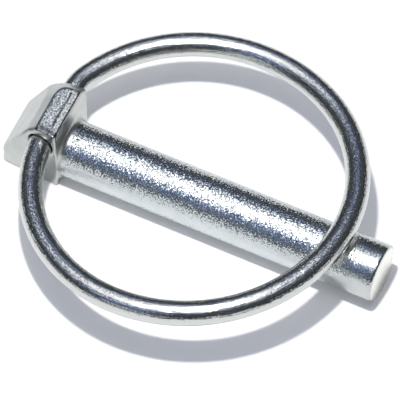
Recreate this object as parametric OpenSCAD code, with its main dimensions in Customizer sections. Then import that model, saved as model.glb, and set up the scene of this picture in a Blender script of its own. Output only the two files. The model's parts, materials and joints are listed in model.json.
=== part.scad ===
// Lynch pin: a forged pin with a wedge-shaped head and a spring ring that
// turns in a bore through the head and snaps down over the end of the shank.
//
// Frame: +X runs along the shank from head to tip, Y is across and +Z is up.
// The origin is on the shank's axis, where the plain shank leaves the root fillet.

/* [Shank] */
// Diameter of the shank
shank_d = 10; // [8:0.5:12]
// Length from the head's front face to the tip
shank_len = 58.1; // [56:0.1:70]
// Radius of the fillet between shank and head
root_r = 1.2; // [0.6:0.1:2]
// Radius that breaks the edge of the tip
tip_r = 0.5; // [0.2:0.1:1.5]

/* [Head] */
// Height of the head's top above the axis, at its near end
top_near = 9.1; // [8.6:0.1:11]
// Height of the head's top above the axis, at its far end
top_far = 10.5; // [8.6:0.1:12]
// Distance from the axis to the head's near side
side_near = 5.1; // [5:0.1:6.5]
// Distance from the axis to the head's far side
side_far = 6.9; // [6:0.1:7.6]
// Depth of the narrow strip along the head's top
strip_depth = 3.7; // [2.5:0.1:5]
// Depth of the head at its foot
foot_depth = 10.9; // [8.5:0.1:13]
// Height of the upright part of the head's back
back_height = 4.2; // [2.5:0.1:6]
// How far each side draws in from the front face to the back
side_draft = 0.8; // [0:0.1:1.5]
// Radius along the edges of the top strip and the foot
edge_r = 0.5; // [0.2:0.1:1]
// Radius along the upright edges of the head
upright_r = 0.6; // [0.3:0.1:1.2]
// Radius where the back slope turns down into the upright back
back_r = 2.2; // [0.5:0.1:3]
// Radius of the shoulder between the top and the far side
shoulder_r = 2.6; // [0.5:0.1:3]

/* [Ring] */
// Diameter of the ring's wire
wire_d = 4.2; // [3.5:0.1:4.6]
// Radius of the ring's main arc, to the wire's centre
ring_r = 27.8; // [26:0.1:30]
// How far the main arc would reach behind the hinge line
far_reach = 1.7; // [1:0.1:2.5]
// How far the tighter near arc would reach behind the hinge line
near_reach = 0.1; // [0.1:0.1:1]
// Radius of the small bends that lead the wire into the head
bend_r = 8; // [6:0.5:10]
// Gap between the wire's two ends inside the head
ends_gap = 1.2; // [0.5:0.1:3]

/* [Hinge] */
// Distance of the hinge line behind the head's front face
hinge_back = 3; // [2.8:0.1:3.6]
// Height of the hinge line above the shank's axis
hinge_up = 5.2; // [4.6:0.1:5.6]
// Clearance on diameter between the wire and its bore
bore_play = 0.8; // [0.6:0.1:1.2]
// How far the loose wire sits ahead of the bore's centre, and below it
wire_off = 0.1; // [0:0.05:0.1]
// Width of the chamfer round each mouth of the bore
mouth_w = 0.3; // [0.1:0.1:0.5]
// Gap between the closed ring and the shank it lies over
seat_gap = 0.55; // [0.3:0.05:0.8]

/* [Hidden] */
$fn = 96;
// Length by which cutting and joining solids run past the faces they meet
over = 1;
// Flats that draw the round of each corner of the head
arc_steps = 6;
// How far the front view stops above the head's top, which the side view cuts
top_skin = 0.02;

shank_r = shank_d / 2;
wire_r = wire_d / 2;
bore_r = (wire_d + bore_play) / 2;

// Stations along X
face_x = -root_r;
hinge_x = face_x - hinge_back;

// The head's top leans, so that its far end is the higher one
top_lean = atan((top_far - top_near) / (side_near + side_far));
top_z = (top_near + side_near * tan(top_lean)) * cos(top_lean);
width = side_near + side_far;

// The ring in its own plane: the hinge line is x = 0 and the tip lies towards +x
centre_x = ring_r - far_reach;
near_r = centre_x + near_reach;
near_y = near_r - ring_r;
far_bend_y = sqrt(2 * far_reach * (ring_r - bend_r) - pow(far_reach, 2));
near_bend_y = near_y - sqrt(2 * near_reach * (near_r - bend_r) - pow(near_reach, 2));
far_turn = atan2(far_bend_y, bend_r - centre_x);
near_turn = 360 + atan2(near_bend_y - near_y, bend_r - centre_x);
ends_y = (side_far - side_near) / 2;

// The closed ring rises from the hinge line until it clears the shank
ring_tilt = asin((shank_r + seat_gap + wire_r - hinge_up) / (centre_x + ring_r));

function unit(v) = v / norm(v);

// Points of the arc of radius r that rounds the corner at p, between its two neighbours
function round_corner(before, p, after, r) = let (
    a = unit(before - p),
    b = unit(after - p),
    half = acos(a * b) / 2,
    centre = p + unit(a + b) * r / sin(half),
    start = p + a * r / tan(half) - centre,
    turn = 180 - 2 * half
) [for (i = [0 : arc_steps]) let (t = i * turn / arc_steps)
    centre + [start[0] * cos(t) - start[1] * sin(t), start[0] * sin(t) + start[1] * cos(t)]];

// Convex outline, drawn anticlockwise, whose corners are rounded each to its own radius
module rounded(points, radii) {
    n = len(points);
    polygon([for (i = [0 : n - 1])
        each round_corner(points[(i + n - 1) % n], points[i], points[(i + 1) % n], radii[i])]);
}

// The head from the side: front face, top strip, back slope and upright back.
// It runs below the foot, where the view from the front cuts it off.
module side_view() {
    foot_z = -shank_r - width;
    rounded(
        [[0, foot_z], [0, top_z], [-strip_depth, top_z],
            [-foot_depth, back_height - shank_r], [-foot_depth, foot_z]],
        [edge_r, edge_r, edge_r, back_r, edge_r]);
}

// The head from the front: flat foot, upright sides, leaning top and far shoulder
module front_view() {
    rounded(
        [[-side_near, -shank_r], [side_far, -shank_r], [side_far, top_far + top_skin],
            [-side_near, top_near + top_skin]],
        [edge_r, edge_r, shoulder_r, edge_r]);
}

// The head from above: sides that draw in towards the back
module plan_view() {
    rounded(
        [[0, -side_near], [0, side_far], [-foot_depth, side_far - side_draft],
            [-foot_depth, side_draft - side_near]],
        [upright_r, upright_r, upright_r, upright_r]);
}

module head_block() {
    intersection() {
        rotate([top_lean, 0, 0]) translate([face_x, side_far + over, 0])
            rotate([90, 0, 0]) linear_extrude(width + 2 * over) side_view();
        translate([face_x - foot_depth - over, 0, 0])
            rotate([90, 0, 90]) linear_extrude(foot_depth + 2 * over) front_view();
        translate([face_x, 0, -shank_r - over])
            linear_extrude(shank_r + max(top_near, top_far) + 2 * over) plan_view();
    }
}

// Fillet at the root of the shank, cut off flush with the head's sides and foot
module root_fillet() {
    intersection() {
        translate([face_x, 0, 0]) rotate([0, 90, 0]) rotate_extrude() difference() {
            square([shank_r + root_r, root_r]);
            translate([shank_r + root_r, root_r]) circle(root_r);
        }
        translate([face_x - over, 0, 0])
            rotate([90, 0, 90]) linear_extrude(root_r + 2 * over) front_view();
    }
}

module shank() {
    translate([face_x - over, 0, 0]) rotate([0, 90, 0]) rotate_extrude() {
        square([shank_r, shank_len + over - tip_r]);
        square([shank_r - tip_r, shank_len + over]);
        translate([shank_r - tip_r, shank_len + over - tip_r]) circle(tip_r);
    }
}

// Bore for the ring, opened out by a 45 degree chamfer at each side of the head
module bore() {
    draft_at_hinge = side_draft * hinge_back / foot_depth;
    translate([hinge_x - wire_off, 0, hinge_up + wire_off]) {
        translate([0, -side_near - over, 0]) rotate([-90, 0, 0])
            cylinder(r = bore_r, h = width + 2 * over);
        translate([0, side_far - draft_at_hinge - mouth_w, 0]) rotate([-90, 0, 0])
            cylinder(r1 = bore_r, r2 = bore_r + mouth_w + over, h = mouth_w + over);
        translate([0, draft_at_hinge + mouth_w - side_near, 0]) rotate([90, 0, 0])
            cylinder(r1 = bore_r, r2 = bore_r + mouth_w + over, h = mouth_w + over);
    }
}

module pin() {
    color("lightsteelblue") difference() {
        union() {
            head_block();
            root_fillet();
            shank();
        }
        bore();
    }
}

// A stretch of the ring's wire: an arc of radius r about a centre in the ring's plane
module wire_arc(centre, r, from, to) {
    translate(centre) rotate([0, 0, from]) rotate_extrude(angle = to - from)
        translate([r, 0]) circle(wire_r);
}

// A straight end of the wire, along the hinge line
module wire_end(from, to) {
    translate([0, from, 0]) rotate([-90, 0, 0]) cylinder(r = wire_r, h = to - from);
}

module ring() {
    color("silver") translate([hinge_x, 0, hinge_up]) rotate([0, -ring_tilt, 0]) {
        wire_arc([centre_x, 0, 0], ring_r, -90, far_turn);
        wire_arc([centre_x, near_y, 0], near_r, near_turn, 270);
        wire_arc([bend_r, far_bend_y, 0], bend_r, far_turn, 180);
        wire_arc([bend_r, near_bend_y, 0], bend_r, 180, near_turn);
        wire_end(ends_y + ends_gap / 2, far_bend_y);
        wire_end(near_bend_y, ends_y - ends_gap / 2);
    }
}

pin();
ring();
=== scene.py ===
# %% [markdown]
# # Lynch pin
# A lynch pin locks a shaft or a drawbar. Its forged steel pin goes through a
# cross hole, and its spring-wire ring swings over the pin's end and snaps
# down. Both parts are plated with bright zinc.
# The CAD frame gives the two bodies, the hinge line and the overall size.
# This lesson rebuilds both parts with what the plain solids lack: the soft,
# uneven surfaces of a forging, and a wire whose finish runs along it.

# %% Load the fixed frame
import json
import math

import bmesh
import bpy
from mathutils import Matrix, Vector


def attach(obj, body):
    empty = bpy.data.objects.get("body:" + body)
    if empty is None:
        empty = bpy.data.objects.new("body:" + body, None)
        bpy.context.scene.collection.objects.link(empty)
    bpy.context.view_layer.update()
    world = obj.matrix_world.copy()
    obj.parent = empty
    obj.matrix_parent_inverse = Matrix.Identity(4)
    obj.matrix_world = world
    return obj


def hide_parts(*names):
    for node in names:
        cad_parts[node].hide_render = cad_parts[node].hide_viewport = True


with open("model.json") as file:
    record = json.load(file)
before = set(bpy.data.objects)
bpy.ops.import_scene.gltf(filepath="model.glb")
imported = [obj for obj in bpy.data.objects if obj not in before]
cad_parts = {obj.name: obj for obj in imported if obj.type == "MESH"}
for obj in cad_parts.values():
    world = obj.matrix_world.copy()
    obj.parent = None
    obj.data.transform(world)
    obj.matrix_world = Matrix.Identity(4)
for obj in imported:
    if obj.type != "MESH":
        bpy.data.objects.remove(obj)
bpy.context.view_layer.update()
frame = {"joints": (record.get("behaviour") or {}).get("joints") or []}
hinge = Vector(frame["joints"][0]["pos_m"]) * 1000
print("hinge line through, in mm:", tuple(round(c, 2) for c in hinge))

# %% [markdown]
# ## Working in millimetres
# Small hardware is drawn in millimetres, so each mesh is built in them and
# shrunk to metres at the end. The pieces stay at the world's origin, with
# their place in their mesh, as the CAD nodes do.

# %% Turn a bmesh into a piece


def as_object(bm, name):
    """Makes an object from a bmesh, as it stands."""
    mesh = bpy.data.meshes.new(name)
    bm.to_mesh(mesh)
    bm.free()
    made = bpy.data.objects.new(name, mesh)
    bpy.context.scene.collection.objects.link(made)
    return made


def make_piece(bm, name, body, node):
    """Shrinks a mesh from mm to metres and makes it a smooth piece that stands for a CAD node."""
    bmesh.ops.scale(bm, vec=(0.001,) * 3, verts=bm.verts)
    for face in bm.faces:
        face.smooth = True
    piece = as_object(bm, name)
    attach(piece, body)
    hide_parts(node)
    size = tuple(round(d * 1000, 1) for d in piece.dimensions)
    print(f"{name}: {len(piece.data.polygons)} faces, {size} mm")
    return piece


# %% [markdown]
# ## The ring
# The ring is one length of round spring wire. It is bent cold into a large
# arc, with a tighter bend at each end that leads the wire into the head.
# It could be a curve with a bevel, but a spun mesh keeps exact arcs, and each
# of its rings of vertices can remember how far along the wire it lies.

# %% The wire's path, in the ring's own plane
# The hinge line is x = 0 and the pin's tip lies towards +x.
wire_radius = 2.1
main_radius = 27.65
main_centre = Vector((25.95, 0, 0))
near_radius = 26.05
near_centre = Vector((25.95, -1.6, 0))
bend_radius = 8.0
# the wire's two ends stop on either side of the middle of the head
ends_middle = 0.9
ends_gap = 1.2
near_end = ends_middle - ends_gap / 2
far_end = ends_middle + ends_gap / 2


def bend_centre(arc_centre, arc_radius, side):
    """Centre of the small bend that touches the hinge line and the arc, on one side of the pin."""
    across = bend_radius - arc_centre.x
    reach = math.sqrt((arc_radius - bend_radius) ** 2 - across ** 2)
    return Vector((bend_radius, arc_centre.y + side * reach, 0))


def turn_from(centre, point):
    """The direction from an arc's centre to a point, in degrees."""
    return math.degrees(math.atan2(point.y - centre.y, point.x - centre.x))


near_bend = bend_centre(near_centre, near_radius, -1)
far_bend = bend_centre(main_centre, main_radius, 1)
near_turn = turn_from(near_centre, near_bend) + 360
far_turn = turn_from(main_centre, far_bend)
print(f"small bends at y = {near_bend.y:.2f} and {far_bend.y:.2f} mm, "
      f"turning to {near_turn:.1f} and {far_turn:.1f} degrees")

# %% Spin the wire along its path
# "straight" holds each vertex's place on the unbent wire, in mm: how far
# along it lies, and where it is on the round section.
ring = bmesh.new()
straight = ring.verts.layers.float_vector.new("straight")
circle = bmesh.ops.create_circle(
    ring, segments=40, radius=wire_radius,
    matrix=Matrix.Translation((0, near_end, 0)) @ Matrix.Rotation(math.pi / 2, 4, "X"))
for vert in circle["verts"]:
    vert[straight] = (0, vert.co.x, vert.co.z)
rim = list(ring.edges)
travelled = 0.0


def remember_length(rim_edges):
    """Writes how far along the wire the newest vertices lie."""
    for vert in {v for e in rim_edges for v in e.verts}:
        vert[straight].x = travelled


def go_straight(rim_edges, offset):
    """Carries the wire's open end straight on."""
    global travelled
    made = bmesh.ops.extrude_edge_only(ring, edges=rim_edges)["geom"]
    new_verts = [g for g in made if isinstance(g, bmesh.types.BMVert)]
    bmesh.ops.translate(ring, vec=offset, verts=new_verts)
    travelled += offset.length
    # only the edges that are still open belong to the new end
    new_rim = [g for g in made if isinstance(g, bmesh.types.BMEdge) and len(g.link_faces) == 1]
    remember_length(new_rim)
    return new_rim


def go_round(rim_edges, centre, radius, degrees, step=2.0):
    """Carries the wire's open end round an arc, a step of a few degrees at a time."""
    global travelled
    steps = max(2, round(abs(degrees) / step))
    for _ in range(steps):
        made = bmesh.ops.spin(
            ring, geom=rim_edges + list({v for e in rim_edges for v in e.verts}), cent=centre,
            axis=(0, 0, 1), angle=math.radians(degrees / steps), steps=1)["geom_last"]
        rim_edges = [g for g in made if isinstance(g, bmesh.types.BMEdge)]
        travelled += radius * math.radians(abs(degrees) / steps)
        remember_length(rim_edges)
    return rim_edges


first_rim = rim
rim = go_straight(rim, Vector((0, near_bend.y - near_end, 0)))
rim = go_round(rim, near_bend, bend_radius, near_turn - 180, step=1.0)
rim = go_round(rim, near_centre, near_radius, 270 - near_turn)
rim = go_round(rim, main_centre, main_radius, 90 + far_turn)
rim = go_round(rim, far_bend, bend_radius, 180 - far_turn, step=4.0)
rim = go_straight(rim, Vector((0, far_end - far_bend.y, 0)))
for open_end in (first_rim, rim):
    bmesh.ops.edgeloop_fill(ring, edges=open_end)
bmesh.ops.recalc_face_normals(ring, faces=ring.faces)
print(f"wire length {travelled:.1f} mm, {len(ring.verts)} vertices")

# %% Put the ring in its bore and tilt it over the pin
# The closed ring rises from the hinge line until it clears the shank.
shank_radius = 5.0
seat_gap = 0.55
clears = shank_radius + seat_gap + wire_radius
ring_tilt = math.asin((clears - hinge.z) / (main_centre.x + main_radius))
# The wire is wound with a slight twist. Its far arc drops below the ring's
# plane by this many mm, most at this turn in degrees, and less up to this
# many degrees away from it.
twist_drop, twist_middle, twist_reach = 1.05, 60.0, 80.0
for vert in ring.verts:
    turn = turn_from(main_centre, vert.co)
    off = min(1, abs(turn - twist_middle) / twist_reach)
    vert.co.z -= twist_drop * (1 + math.cos(math.pi * off)) / 2
place_ring = Matrix.Translation(hinge) @ Matrix.Rotation(-ring_tilt, 4, "Y")
bmesh.ops.transform(ring, matrix=place_ring, verts=ring.verts)
wire = make_piece(ring, "spring_wire_ring", "ring_body", "ring")
print(f"ring tilted by {math.degrees(ring_tilt):.2f} degrees")

# %% [markdown]
# ## The head
# The pin is struck hot between two dies, so its head is a block with one flat
# after another and soft edges between them. A cube sliced by planes gives
# exactly that: each slice is one flat, and a fan of slices rounds an edge.

# %% Slice a block and round its edges


def slice_off(bm, point, outward):
    """Cuts away what lies beyond a plane and closes the cut with a face."""
    everything = bm.verts[:] + bm.edges[:] + bm.faces[:]
    cut = bmesh.ops.bisect_plane(
        bm, geom=everything, plane_co=point, plane_no=outward, clear_outer=True)["geom_cut"]
    edges = [g for g in cut if isinstance(g, bmesh.types.BMEdge)]
    if len(edges) > 2:
        bmesh.ops.edgeloop_fill(bm, edges=edges)


def round_edge(bm, start, end, side_a, side_b, start_radius, end_radius, cuts):
    """Rounds the edge where two flats meet with a fan of slices. The radius may grow along it."""
    middle = (side_a + side_b) / (1 + side_a.dot(side_b))
    along = end - start
    for i in range(1, cuts):
        outward = side_a.slerp(side_b, i / cuts)
        # a growing radius tips each slice a little along the edge
        tip = (outward.dot(middle) - 1) * (end_radius - start_radius) / along.length
        outward = (outward + along.normalized() * tip).normalized()
        slice_off(bm, start + (outward - middle) * start_radius, outward)


def meeting(point_a, side_a, point_b, side_b, point_c, side_c):
    """The point that three flats share."""
    rows = Matrix((side_a, side_b, side_c))
    return rows.inverted() @ Vector(
        (point_a.dot(side_a), point_b.dot(side_b), point_c.dot(side_c)))


# %% Sizes of the head
# The front face is at face_x and the back lies below it in x. y runs across
# and z up, both from the shank's axis.
face_x = -1.2
foot_depth = 10.9
foot_z = -5.0
near_y, far_y = -5.1, 6.9
top_near, top_far = 9.1, 10.5
strip_depth = 3.7
side_draft = 0.8
back_top = -0.8
lean = math.atan2(top_far - top_near, far_y - near_y)
top_up = (top_near - near_y * math.tan(lean)) * math.cos(lean)
leaning = Matrix.Rotation(lean, 3, "X")
up_top = leaning @ Vector((0, 0, 1))
# a bevel and then the long slope lead down from the strip to the back
bevel_run, bevel_fall = 2.0, 2.0
bevel_out = leaning @ Vector((-bevel_fall, 0, bevel_run)).normalized()
slope_fall = top_up - bevel_fall - back_top
slope_side = Vector((-slope_fall, 0, foot_depth - strip_depth - bevel_run)).normalized()
slope_out = leaning @ slope_side
back_out = Vector((-1, 0, 0))
front_out = Vector((1, 0, 0))
near_out = Vector((-side_draft / foot_depth, -1, 0)).normalized()
far_out = Vector((-side_draft / foot_depth, 1, 0)).normalized()
foot_out = Vector((0, 0, -1))
strip_back = leaning @ Vector((face_x - strip_depth, 0, top_up))
slope_top = leaning @ Vector((face_x - strip_depth - bevel_run, 0, top_up - bevel_fall))
# the shoulder cuts the corner between the top and the far side
shoulder_y, shoulder_tilt = 5.75, math.radians(50)
shoulder_out = leaning @ Vector((0, math.sin(shoulder_tilt), math.cos(shoulder_tilt)))
shoulder_top = leaning @ Vector((0, shoulder_y, top_up))
# the strip itself is two bands, which meet this far behind the front face
band_depth, band_tilt = 1.35, math.radians(4)
# the strip's near end falls away, mostly towards the near side and a little to the back
end_depth, end_y, end_tilt = 0.16, -4.3, math.radians(40)
end_back, end_near = -0.27, -0.96
print(f"top leans {math.degrees(lean):.1f} degrees, "
      f"slope drops at {math.degrees(math.asin(-slope_side.x)):.1f} degrees")

# %% Cut the head from a block
block_height = 16
head = bmesh.new()
bmesh.ops.create_cube(head, size=1)
bmesh.ops.scale(head, vec=(foot_depth, far_y - near_y, block_height), verts=head.verts)
bmesh.ops.translate(
    head, vec=(face_x - foot_depth / 2, (far_y + near_y) / 2, foot_z + block_height / 2),
    verts=head.verts)
near_front = Vector((face_x, near_y, 0))
far_front = Vector((face_x, far_y, 0))
slice_off(head, near_front, near_out)
slice_off(head, far_front, far_out)
slice_off(head, strip_back, up_top)
slice_off(head, shoulder_top, shoulder_out)
slice_off(head, strip_back, bevel_out)
slice_off(head, slope_top, slope_out)
# the trimming left the strip as two bands, with a near end that falls away
band_edge = leaning @ Vector((face_x - band_depth, 0, top_up))
rear_out = leaning @ Vector((-math.sin(band_tilt), 0, math.cos(band_tilt)))
slice_off(head, band_edge, rear_out)
end_out = leaning @ Vector(
    (end_back * math.sin(end_tilt), end_near * math.sin(end_tilt), math.cos(end_tilt)))
end_point = leaning @ Vector((face_x - end_depth, end_y, top_up))
slice_off(head, end_point, end_out)
print("head after the flats:", len(head.faces), "faces")

# %% Round the head's edges
# Each row names the two flats of an edge, the flats at its ends, its radius
# at each end, and the number of steps that draw the round.
front = (near_front, front_out)
near = (near_front, near_out)
far = (far_front, far_out)
top = (strip_back, up_top)
rear = (band_edge, rear_out)
bevel = (strip_back, bevel_out)
shoulder = (shoulder_top, shoulder_out)
slope = (slope_top, slope_out)
back = (Vector((face_x - foot_depth, 0, 0)), back_out)
foot = (Vector((0, 0, foot_z)), foot_out)
edge_rows = (
    (top, shoulder, front, back, 0.35, 0.35, 4),
    (shoulder, far, front, back, 1.2, 1.2, 6),
    (slope, back, near, far, 2.2, 2.2, 8),
    (slope, near, bevel, foot, 0.8, 1.5, 8),
    (slope, far, bevel, foot, 0.9, 0.9, 6),
    (bevel, near, top, slope, 0.3, 0.8, 5),
    (bevel, far, top, slope, 0.9, 0.9, 5),
    (near, front, top, foot, 0.4, 0.4, 5),
    (far, front, top, foot, 0.6, 0.6, 5),
    (near, back, slope, foot, 0.8, 0.8, 5),
    (far, back, slope, foot, 0.8, 0.8, 5),
    (bevel, slope, near, far, 0.8, 0.8, 4),
    (rear, bevel, near, far, 0.3, 0.3, 4),
    (top, front, near, far, 0.35, 0.35, 4),
)
for side_a, side_b, first, last, start_radius, end_radius, cuts in edge_rows:
    start, end = (meeting(*side_a, *side_b, *stop) for stop in (first, last))
    round_edge(head, start, end, side_a[1], side_b[1], start_radius, end_radius, cuts)
# the strip's far back corner is round in plan, and its slices lean outwards as they rise
corner_radius, corner_drop = 1.5, 0.15
corner_across, corner_up = 0.72, Vector((0, 0, 0.69))
corner_centre = Vector(
    (face_x - strip_depth + corner_radius, shoulder_y - corner_radius, top_up - corner_drop))
for degrees in range(15, 90, 15):
    turn = math.radians(degrees)
    outward = Vector((-math.cos(turn), math.sin(turn), 0))
    slice_off(head, leaning @ (corner_centre + outward * corner_radius),
              leaning @ (outward * corner_across + corner_up).normalized())
print("head after its edges:", len(head.faces), "faces")

# %% [markdown]
# ## The shank's root and the bore
# A fillet leads the head's front face into the shank, and the dies cut it off
# flush with the head's near side and its foot. The bore for the wire goes
# right through, and opens out a little towards its two mouths.

# %% Spin the root fillet
# flats that draw a full round, and how far a working solid runs past the faces it meets
flats = 96
over = 1
root_radius = 1.2
root = bmesh.new()
profile = [Vector((face_x - over, 0, 0)), Vector((face_x - over, 0, shank_radius + root_radius))]
for degrees in range(0, 91, 9):
    turn = math.radians(degrees)
    profile.append(Vector((face_x + root_radius - root_radius * math.cos(turn), 0,
                           shank_radius + root_radius - root_radius * math.sin(turn))))
profile.append(Vector((face_x + root_radius, 0, 0)))
line = [root.verts.new(p) for p in profile]
edges = [root.edges.new(pair) for pair in zip(line, line[1:])]
bmesh.ops.spin(root, geom=line + edges, cent=(0, 0, 0), axis=(1, 0, 0), angle=math.tau,
               steps=flats, use_merge=True)
bmesh.ops.remove_doubles(root, verts=root.verts, dist=0.0001)
bmesh.ops.recalc_face_normals(root, faces=root.faces)
# the dies cut it at the near side, at a slant over the near front edge, and at the foot
slant_out = Vector((0.86, -0.5, 0)).normalized()
slice_off(root, near_front, near_out)
slice_off(root, near_front, slant_out)
slice_off(root, Vector((0, 0, foot_z)), foot_out)
print("root fillet:", len(root.faces), "faces")

# %% The first stretch of the shank
stub = bmesh.new()
stub_start, stub_end = face_x - over, 4
bmesh.ops.create_cone(stub, cap_ends=True, segments=flats, radius1=shank_radius,
                      radius2=shank_radius, depth=stub_end - stub_start)
bmesh.ops.rotate(stub, cent=(0, 0, 0), matrix=Matrix.Rotation(math.pi / 2, 3, "Y"),
                 verts=stub.verts)
bmesh.ops.translate(stub, vec=((stub_start + stub_end) / 2, 0, 0), verts=stub.verts)
print(f"first stretch from {stub_start:.1f} to {stub_end:.1f} mm")

# %% Join, bore and forge
bore_radius = 2.22
mouth_depth, mouth_opening = 1.0, 0.2
# the loose wire lies this far behind the bore's middle, and this far below it
wire_behind, wire_below = 0.03, 0.06
voxel = 0.2
outer_radius = bore_radius + mouth_opening * (mouth_depth + over) / mouth_depth
bore = bmesh.new()
corners = [bore.verts.new((0, y, radius)) for y, radius in (
    (near_y - over, 0), (near_y - over, outer_radius), (near_y + mouth_depth, bore_radius),
    (far_y - mouth_depth, bore_radius), (far_y + over, outer_radius), (far_y + over, 0))]
profile = [bore.edges.new(pair) for pair in zip(corners, corners[1:])]
bmesh.ops.spin(bore, geom=corners + profile, cent=(0, 0, 0), axis=(0, 1, 0), angle=math.tau,
               steps=flats, use_merge=True)
bmesh.ops.remove_doubles(bore, verts=bore.verts, dist=0.001)
bmesh.ops.recalc_face_normals(bore, faces=bore.faces)
bmesh.ops.translate(
    bore, vec=(hinge.x + wire_behind, 0, hinge.z + wire_below), verts=bore.verts)
head_block = as_object(head, "head_block")
root_block = as_object(root, "root_block")
stub_block = as_object(stub, "stub_block")
bore_block = as_object(bore, "bore_block")
for block, work in ((root_block, "UNION"), (stub_block, "UNION"), (bore_block, "DIFFERENCE")):
    step = head_block.modifiers.new(work, "BOOLEAN")
    step.operation, step.object, step.solver = work, block, "EXACT"
# the remesh melts all of it into one skin of even squares
forge = head_block.modifiers.new("forge", "REMESH")
forge.mode, forge.voxel_size = "VOXEL", voxel
bpy.context.view_layer.update()
forged = bmesh.new()
forged.from_mesh(head_block.evaluated_get(bpy.context.evaluated_depsgraph_get()).to_mesh())
for block in (head_block, root_block, stub_block, bore_block):
    bpy.data.objects.remove(block)
print("forged head:", len(forged.verts), "vertices")

# %% Soften the forging
soften_passes = 3
bmesh.ops.recalc_face_normals(forged, faces=forged.faces)
for _ in range(soften_passes):
    bmesh.ops.smooth_vert(forged, verts=forged.verts, factor=0.5,
                          use_axis_x=True, use_axis_y=True, use_axis_z=True)
print("softened", soften_passes, "times")

# %% [markdown]
# ## The shank
# The shank is a plain round bar with a small round at its tip. It grows out of
# the forged head as one skin, so that no joint shows in the reflections.

# %% Draw the shank out of the head
# The forged head is cut across at cut_x, and the plain shank goes on from
# there. The skin behind the cut takes on the shank's true radius, from
# true_from on and over the next true_over.
cut_x = 0.8
true_from, true_over = -0.05, 0.2
shank_end = 56.9
tip_radius = 0.5
cut = bmesh.ops.bisect_plane(
    forged, geom=forged.verts[:] + forged.edges[:] + forged.faces[:],
    plane_co=(cut_x, 0, 0), plane_no=(1, 0, 0), clear_outer=True)["geom_cut"]
cut_verts = [g for g in cut if isinstance(g, bmesh.types.BMVert)]
bmesh.ops.remove_doubles(forged, verts=cut_verts, dist=0.02)
rim = [e for e in forged.edges if len(e.link_faces) == 1]
print("open rim:", len(rim), "edges")
for vert in forged.verts:
    if vert.co.x > true_from:
        blend = min(1, (vert.co.x - true_from) / true_over)
        scale = 1 + (shank_radius / math.hypot(vert.co.y, vert.co.z) - 1) * blend
        vert.co.y *= scale
        vert.co.z *= scale
stations = [(x, shank_radius) for x in (
    2.5, 5, 10, 15, 20, 25, 30, 35, 40, 45, 50, 54, shank_end - tip_radius)]
for degrees in (18, 36, 54, 72, 90):
    turn = math.radians(degrees)
    stations.append((shank_end - tip_radius + tip_radius * math.sin(turn),
                     shank_radius - tip_radius + tip_radius * math.cos(turn)))
for x, radius in stations:
    made = bmesh.ops.extrude_edge_only(forged, edges=rim)["geom"]
    rim = [g for g in made if isinstance(g, bmesh.types.BMEdge) and len(g.link_faces) == 1]
    for vert in {v for e in rim for v in e.verts}:
        scale = radius / math.hypot(vert.co.y, vert.co.z)
        vert.co = (x, vert.co.y * scale, vert.co.z * scale)
bmesh.ops.edgeloop_fill(forged, edges=rim)
bmesh.ops.recalc_face_normals(forged, faces=forged.faces)

# %% Keep the forging's uneven skin, mark where the plating is grainy, and mark the end face for painted light
# The grain comes in where the fillet meets the shank, is full along the shank
# and fades towards the tip. The head's flats have none, and its strip has some.
grain_from, grain_over = -0.5, 0.8
fade_from, fade_over, tip_grain = 46, 12, 0.45
strip_grain, strip_facing, strip_above = 0.55, 0.93, 8.3
# the tip's end face, where the bar was cut off, is marked to be painted lighter: painted light
# over the shadow it reflects
end_margin = 0.01
grain = forged.verts.layers.float.new("grain")
forged.normal_update()
for vert in forged.verts:
    on_shank = min(1, max(0, (vert.co.x - grain_from) / grain_over))
    if vert.co.x > fade_from:
        on_shank = max(tip_grain, 1 - (vert.co.x - fade_from) / fade_over)
    is_strip = vert.normal.dot(up_top) > strip_facing and vert.co.z > strip_above
    vert[grain] = max(on_shank, strip_grain if is_strip else 0)
painted_light_end = forged.verts.layers.float.new("painted_light_end")
for vert in forged.verts:
    vert[painted_light_end] = 1 if vert.co.x > shank_end - end_margin else 0
pin = make_piece(forged, "forged_pin", "pin_body", "pin")

# %% [markdown]
# ## Finishes
# Both parts are barrel-plated with bright zinc and given a clear blue
# passivate. The plating is a metal, so its colour is the colour of its
# reflections: a light grey with a breath of blue.

# %% Colours and nodes


def colour(hex_code):
    """Turns an sRGB hex value into the linear colour that the shaders use."""
    parts = [int(hex_code[i:i + 2], 16) / 255 for i in (1, 3, 5)]
    return [p / 12.92 if p <= 0.04045 else ((p + 0.055) / 1.055) ** 2.4 for p in parts] + [1]


def add_node(tree, kind, links=None, **settings):
    """Adds a node. settings are its properties. links are its inputs: values or other outputs."""
    node = tree.nodes.new(kind)
    for name, value in settings.items():
        setattr(node, name, value)
    for socket, value in (links or {}).items():
        if isinstance(value, bpy.types.NodeSocket):
            tree.links.new(value, node.inputs[socket])
        else:
            node.inputs[socket].default_value = value
    return node


def new_material(name):
    """Makes an empty node material and gives its tree and its shader."""
    material = bpy.data.materials.new(name)
    material.use_nodes = True
    material.node_tree.nodes.clear()
    shader = add_node(material.node_tree, "ShaderNodeBsdfPrincipled")
    add_node(material.node_tree, "ShaderNodeOutputMaterial", {"Surface": shader.outputs[0]})
    return material, material.node_tree, shader


# %% Crystals of the plating
# Zinc grows in crystals, each with its own tilt, and they glitter. Real ones
# are too fine to show in the render, so these are drawn as coarse as they
# need to be: 0.25 mm across on the forging, and 4.5 to the mm on the wire,
# which makes each 0.22 mm.
forged_crystal = 0.25
wire_crystals_per_mm = 4.5


def centred(tree, place, scale, spread, detail):
    """A noise of vectors about zero. spread says how long they are: a number or an output."""
    noise = add_node(tree, "ShaderNodeTexNoise",
                     {"Vector": place, "Scale": scale, "Detail": detail})
    noise = add_node(tree, "ShaderNodeVectorMath",
                     {0: noise.outputs["Color"], 1: (0.5, 0.5, 0.5)}, operation="SUBTRACT")
    return add_node(tree, "ShaderNodeVectorMath",
                    {0: noise.outputs[0], "Scale": spread}, operation="SCALE").outputs[0]


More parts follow.
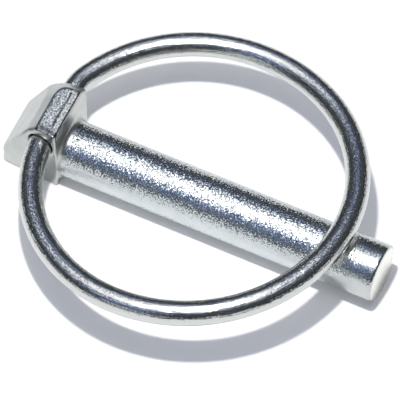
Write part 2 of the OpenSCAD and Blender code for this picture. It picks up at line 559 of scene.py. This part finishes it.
def crystal_normal(tree, place, scale, spread):
    """Turns the surface's normal a little its own way in each crystal."""
    turned = centred(tree, place, scale, spread, 0.0)
    surface = add_node(tree, "ShaderNodeNewGeometry").outputs["Normal"]
    turned = add_node(tree, "ShaderNodeVectorMath", {0: surface, 1: turned}, operation="ADD")
    return add_node(tree, "ShaderNodeVectorMath", {0: turned.outputs[0]},
                    operation="NORMALIZE").outputs[0]


# %% Zinc on the forging
forged_zinc, tree, shader = new_material("bright_zinc_on_forged_steel")
place = add_node(tree, "ShaderNodeTexCoord").outputs["Object"]
grainy = add_node(tree, "ShaderNodeAttribute", attribute_name="grain").outputs["Fac"]
spread = add_node(tree, "ShaderNodeMapRange",
                  {"Value": grainy, "To Min": 0.08, "To Max": 0.74}).outputs[0]
facets = crystal_normal(tree, place, 1000 / forged_crystal, spread)
# hammer and shot dents, 650 to the metre, so each is 1.5 mm across
dents = add_node(tree, "ShaderNodeTexNoise",
                 {"Vector": place, "Scale": 650.0, "Detail": 2.0, "Roughness": 0.6})
bump = add_node(tree, "ShaderNodeBump", {"Height": dents.outputs["Fac"], "Strength": 1.0,
                                         "Distance": 0.00002, "Normal": facets})
tree.links.new(bump.outputs[0], shader.inputs["Normal"])


def crease(tree, place, start, end, wander, width, fade):
    """Gives 1 on a thin line from start to end, in mm, and 0 away from it. It may fade."""
    start, end = Vector(start) / 1000, Vector(end) / 1000
    along = end - start
    # the line wavers, 420 times to the metre, so every 2.4 mm
    drift = centred(tree, place, 420.0, wander / 1000, 2.0)
    here = add_node(tree, "ShaderNodeVectorMath", {0: place, 1: drift}, operation="ADD")
    here = add_node(tree, "ShaderNodeVectorMath", {0: here.outputs[0], 1: start},
                    operation="SUBTRACT").outputs[0]
    share = add_node(tree, "ShaderNodeVectorMath", {0: here, 1: along / along.length_squared},
                     operation="DOT_PRODUCT")
    share = add_node(tree, "ShaderNodeMath", {0: share.outputs["Value"], 1: 1.0},
                     operation="MULTIPLY", use_clamp=True)
    foot_point = add_node(tree, "ShaderNodeVectorMath", {0: along, "Scale": share.outputs[0]},
                          operation="SCALE")
    away = add_node(tree, "ShaderNodeVectorMath", {0: here, 1: foot_point.outputs[0]},
                    operation="DISTANCE")
    line = add_node(tree, "ShaderNodeMapRange",
                    {"Value": away.outputs["Value"], "From Min": 0.0, "From Max": width / 1000,
                     "To Min": 1.0, "To Max": 0.0}, interpolation_type="SMOOTHSTEP")
    lasting = add_node(tree, "ShaderNodeMapRange",
                       {"Value": share.outputs[0], "To Min": 1.0, "To Max": 1.0 - fade})
    return add_node(tree, "ShaderNodeMath", {0: line.outputs[0], 1: lasting.outputs[0]},
                    operation="MULTIPLY").outputs[0]


def stronger(tree, one, other):
    """The larger of two values at each point."""
    return add_node(tree, "ShaderNodeMath", {0: one, 1: other}, operation="MAXIMUM").outputs[0]


# The trimming press left a fold along the strip. Another runs down the
# slope's near edge, in two stretches that meet at fold_turn. The folds are
# not in the mesh: each is a dark line of painted shade that stands for the shade in it.
half_fold = Vector((0, 5, 0.58))
fold_turn = (-6.9, -4.5, 7.2)
strip_fold_shade = crease(tree, place, band_edge - half_fold, band_edge + half_fold, 0.9, 0.42, 0.0)
upper_fold_shade = crease(tree, place, (-4.7, -4.4, 9.0), fold_turn, 0.4, 0.5, 0.3)
lower_fold_shade = crease(tree, place, fold_turn, (-9.3, -4.4, 3.3), 0.6, 0.5, 1.0)
painted_crease_shade = stronger(tree, strip_fold_shade, stronger(tree, upper_fold_shade, lower_fold_shade))
# a third line of painted shade lies along the strip's fallen near end
end_fold_shade = crease(tree, place, (-1.5, -4.4, 9.0), (-4.6, -4.0, 9.1), 0.6, 0.95, 0.3)
painted_crease_shade = stronger(tree, painted_crease_shade, end_fold_shade)
# and the strip's front edge is painted darker, at part of a fold's strength: painted shade that
# dims the highlight it reflects
front_shade_strength = 0.4
front_painted_shade = crease(tree, place, (-1.4, -5.0, 9.1), (-1.4, 6.5, 10.4), 0.8, 1.5, 0.0)
front_painted_shade = add_node(tree, "ShaderNodeMath", {0: front_painted_shade, 1: front_shade_strength}, operation="MULTIPLY")
painted_crease_shade = stronger(tree, painted_crease_shade, front_painted_shade.outputs[0])


def mixed(tree, share, first, second):
    """Mixes two colours. share says how much of the second."""
    return add_node(tree, "ShaderNodeMixRGB",
                    {"Fac": share, "Color1": first, "Color2": second}).outputs[0]


# the plating is thicker and thinner in clouds, 350 to the metre, so each is 2.9 mm across
cloudy = add_node(tree, "ShaderNodeTexNoise", {"Vector": place, "Scale": 350.0, "Detail": 4.0,
                                               "Roughness": 0.6}).outputs["Fac"]
skin = mixed(tree, cloudy, colour("#B9BFBF"), colour("#D1D5D4"))
trimmed = mixed(tree, cloudy, colour("#A4A9A6"), colour("#CACBC6"))
skin = mixed(tree, grainy, trimmed, skin)
# the tip's end face is painted a lighter colour: painted light over the shadow it reflects
painted_light_end_share = add_node(tree, "ShaderNodeAttribute", attribute_name="painted_light_end").outputs["Fac"]
skin = mixed(tree, painted_light_end_share, skin, colour("#E8E7DE"))
# the fold lines and the strip's front edge take a dark colour: painted shade
skin = mixed(tree, painted_crease_shade, skin, colour("#252C36"))
tree.links.new(skin, shader.inputs["Base Color"])
shader.inputs["Metallic"].default_value = 1
# the head's smooth flats are duller than the grainy shank
sheen = add_node(tree, "ShaderNodeMapRange",
                 {"Value": grainy, "From Max": 0.45, "To Min": 0.34, "To Max": 0.21})
tree.links.new(sheen.outputs[0], shader.inputs["Roughness"])
pin.data.materials.append(forged_zinc)
print("forging:", len(tree.nodes), "nodes")

# %% Zinc on the drawn wire
wire_zinc, tree, shader = new_material("bright_zinc_on_drawn_wire")
along = add_node(tree, "ShaderNodeAttribute", attribute_name="straight").outputs["Vector"]
# The die's scratches, in mm. Real ones lie closer, and wouldn't show.
scratch_length, scratch_gap = 4.0, 0.25
stretched = add_node(
    tree, "ShaderNodeMapping",
    {"Vector": along, "Scale": (1 / scratch_length, 1 / scratch_gap, 1 / scratch_gap)})
scratches = add_node(tree, "ShaderNodeTexNoise", {"Vector": stretched.outputs[0], "Scale": 1.0,
                                                  "Detail": 2.0, "Roughness": 0.5})
facets = crystal_normal(tree, along, wire_crystals_per_mm, 0.42)
bump = add_node(tree, "ShaderNodeBump", {"Height": scratches.outputs["Fac"], "Strength": 1.0,
                                         "Distance": 0.00005, "Normal": facets})
tree.links.new(bump.outputs[0], shader.inputs["Normal"])
shader.inputs["Metallic"].default_value = 1
shader.inputs["Base Color"].default_value = colour("#C9CAC6")
shader.inputs["Roughness"].default_value = 0.14
wire.data.materials.append(wire_zinc)
print("wire:", len(tree.nodes), "nodes")

# %% [markdown]
# ## Studio
# A white table under a broad light overhead, a pale wall on the near side and
# a cool window on each side, in a room that is dark otherwise. Bright metal
# shows its shape only where it has something dark to reflect.

# %% The table
# The card is a large disc. Camera rays, and those that come off the metal,
# see it a little lighter than the lamp makes it.
card_radius, card_middle, card_lift = 3, 0.025, 0.1
table_mesh = bmesh.new()
bmesh.ops.create_circle(table_mesh, cap_ends=True, segments=flats, radius=card_radius)
bmesh.ops.translate(table_mesh, vec=(card_middle, 0, foot_z / 1000), verts=table_mesh.verts)
table = as_object(table_mesh, "table")
white, tree, shader = new_material("white_card")
shader.inputs["Base Color"].default_value = colour("#F9F9F9")
shader.inputs["Roughness"].default_value = 0.9
shader.inputs["Specular IOR Level"].default_value = 0.0
path = add_node(tree, "ShaderNodeLightPath")
seen = add_node(tree, "ShaderNodeMath", {0: path.outputs["Is Camera Ray"],
                                         1: path.outputs["Is Glossy Ray"]}, operation="ADD")
seen = add_node(tree, "ShaderNodeMath", {0: seen.outputs[0],
                                         1: path.outputs["Is Transmission Ray"]},
                operation="ADD", use_clamp=True)
lift = add_node(tree, "ShaderNodeMath", {0: seen.outputs[0], 1: card_lift}, operation="MULTIPLY")
tree.links.new(lift.outputs[0], shader.inputs["Emission Strength"])
shader.inputs["Emission Color"].default_value = colour("#FFFFFF")
table.data.materials.append(white)
print("table at z =", foot_z, "mm")

# %% The room
# Each glow has a middle, which is a direction. Each of its rows is an angle
# away from that, in degrees, and the light there in red, green and blue. The
# last row's light holds for all that lies further away, up to widest.
widest = 90
room_strength = 0.92
overhead_glow = (Vector((-0.12, -0.02, 0.992)), [
    (0, 1.9, 1.9, 1.9), (16, 1.8, 1.8, 1.8), (24, 1.05, 1.08, 1.2), (32, 0.4, 0.45, 0.6),
    (40, 0.15, 0.175, 0.24), (49, 0.085, 0.097, 0.122), (70, 0.065, 0.07, 0.075),
    (90, 0.06, 0.065, 0.07)])
near_wall = (Vector((-0.2, -0.97, 0.1)), [
    (0, 0.62, 0.65, 0.68), (9, 0.58, 0.61, 0.65), (15, 0.22, 0.24, 0.3), (22, 0, 0, 0)])
near_window = (Vector((-0.25, -0.64, 0.72)), [
    (0, 0.11, 0.19, 0.42), (10, 0.1, 0.16, 0.34), (20, 0.03, 0.04, 0.06), (28, 0, 0, 0)])
far_window = (Vector((-0.25, 0.66, 0.7)), [
    (0, 0.01, 0.05, 0.2), (6, 0.01, 0.04, 0.15), (12, 0, 0, 0)])
world = bpy.data.worlds.new("studio")
bpy.context.scene.world = world
world.use_nodes = True
tree = world.node_tree
tree.nodes.clear()
ray = add_node(tree, "ShaderNodeTexCoord").outputs["Generated"]
sky = None
for middle, glow in (overhead_glow, near_wall, near_window, far_window):
    from_middle = add_node(tree, "ShaderNodeVectorMath", {0: ray, 1: middle.normalized()},
                           operation="DOT_PRODUCT")
    angle = add_node(tree, "ShaderNodeMath", {0: from_middle.outputs["Value"]},
                     operation="ARCCOSINE")
    share = add_node(tree, "ShaderNodeMath", {0: angle.outputs[0], 1: math.radians(widest)},
                     operation="DIVIDE")
    shades = add_node(tree, "ShaderNodeValToRGB", {"Fac": share.outputs[0]})
    ramp = shades.color_ramp
    while len(ramp.elements) < len(glow):
        ramp.elements.new(0.5)
    # all the places come first, because a ramp sorts its elements by them
    for element, row in zip(ramp.elements, glow):
        element.position = row[0] / widest
    for element, (_, *light) in zip(ramp.elements, glow):
        element.color = light + [1]
    if sky:
        sky = add_node(tree, "ShaderNodeVectorMath", {0: sky, 1: shades.outputs[0]},
                       operation="ADD").outputs[0]
    else:
        sky = shades.outputs[0]
background = add_node(tree, "ShaderNodeBackground", {"Color": sky, "Strength": room_strength})
add_node(tree, "ShaderNodeOutputWorld", {"Surface": background.outputs[0]})
print("room:", len(tree.nodes), "nodes")

# %% The lamp
# A white card straight below the lamp gets this share of full white from it.
card_light = 0.76
lamp = bpy.data.objects.new("overhead_lamp", bpy.data.lights.new("overhead_lamp", "AREA"))
bpy.context.scene.collection.objects.link(lamp)
lamp.data.shape = "DISK"
lamp.data.size = 0.02
lamp.location = (0.023, -0.036, 0.33)
lamp.data.energy = card_light * (math.pi * lamp.location.z) ** 2
print(f"lamp: {lamp.data.energy:.2f} W")

# %% The camera
view_azimuth, view_elevation, view_distance, view_roll = 26.87, 55.65, 0.6682, -0.63
aim = Vector((0.02358, -0.0006, 0.001))
camera = bpy.data.objects.new("camera", bpy.data.cameras.new("camera"))
bpy.context.scene.collection.objects.link(camera)
bpy.context.scene.camera = camera
camera.data.lens = 360
camera.data.sensor_width = 36
camera.data.clip_start = 0.01
a, e = math.radians(view_azimuth), math.radians(view_elevation)
towards = Vector((math.sin(a) * math.cos(e), -math.cos(a) * math.cos(e), math.sin(e)))
camera.location = aim + towards * view_distance
upright = towards.to_track_quat("Z", "Y").to_matrix()
rolled = upright @ Matrix.Rotation(math.radians(view_roll), 3, "Z")
camera.rotation_euler = rolled.to_euler()
bpy.context.scene.view_settings.view_transform = "Standard"
print("camera at", tuple(round(c, 3) for c in camera.location), "m")
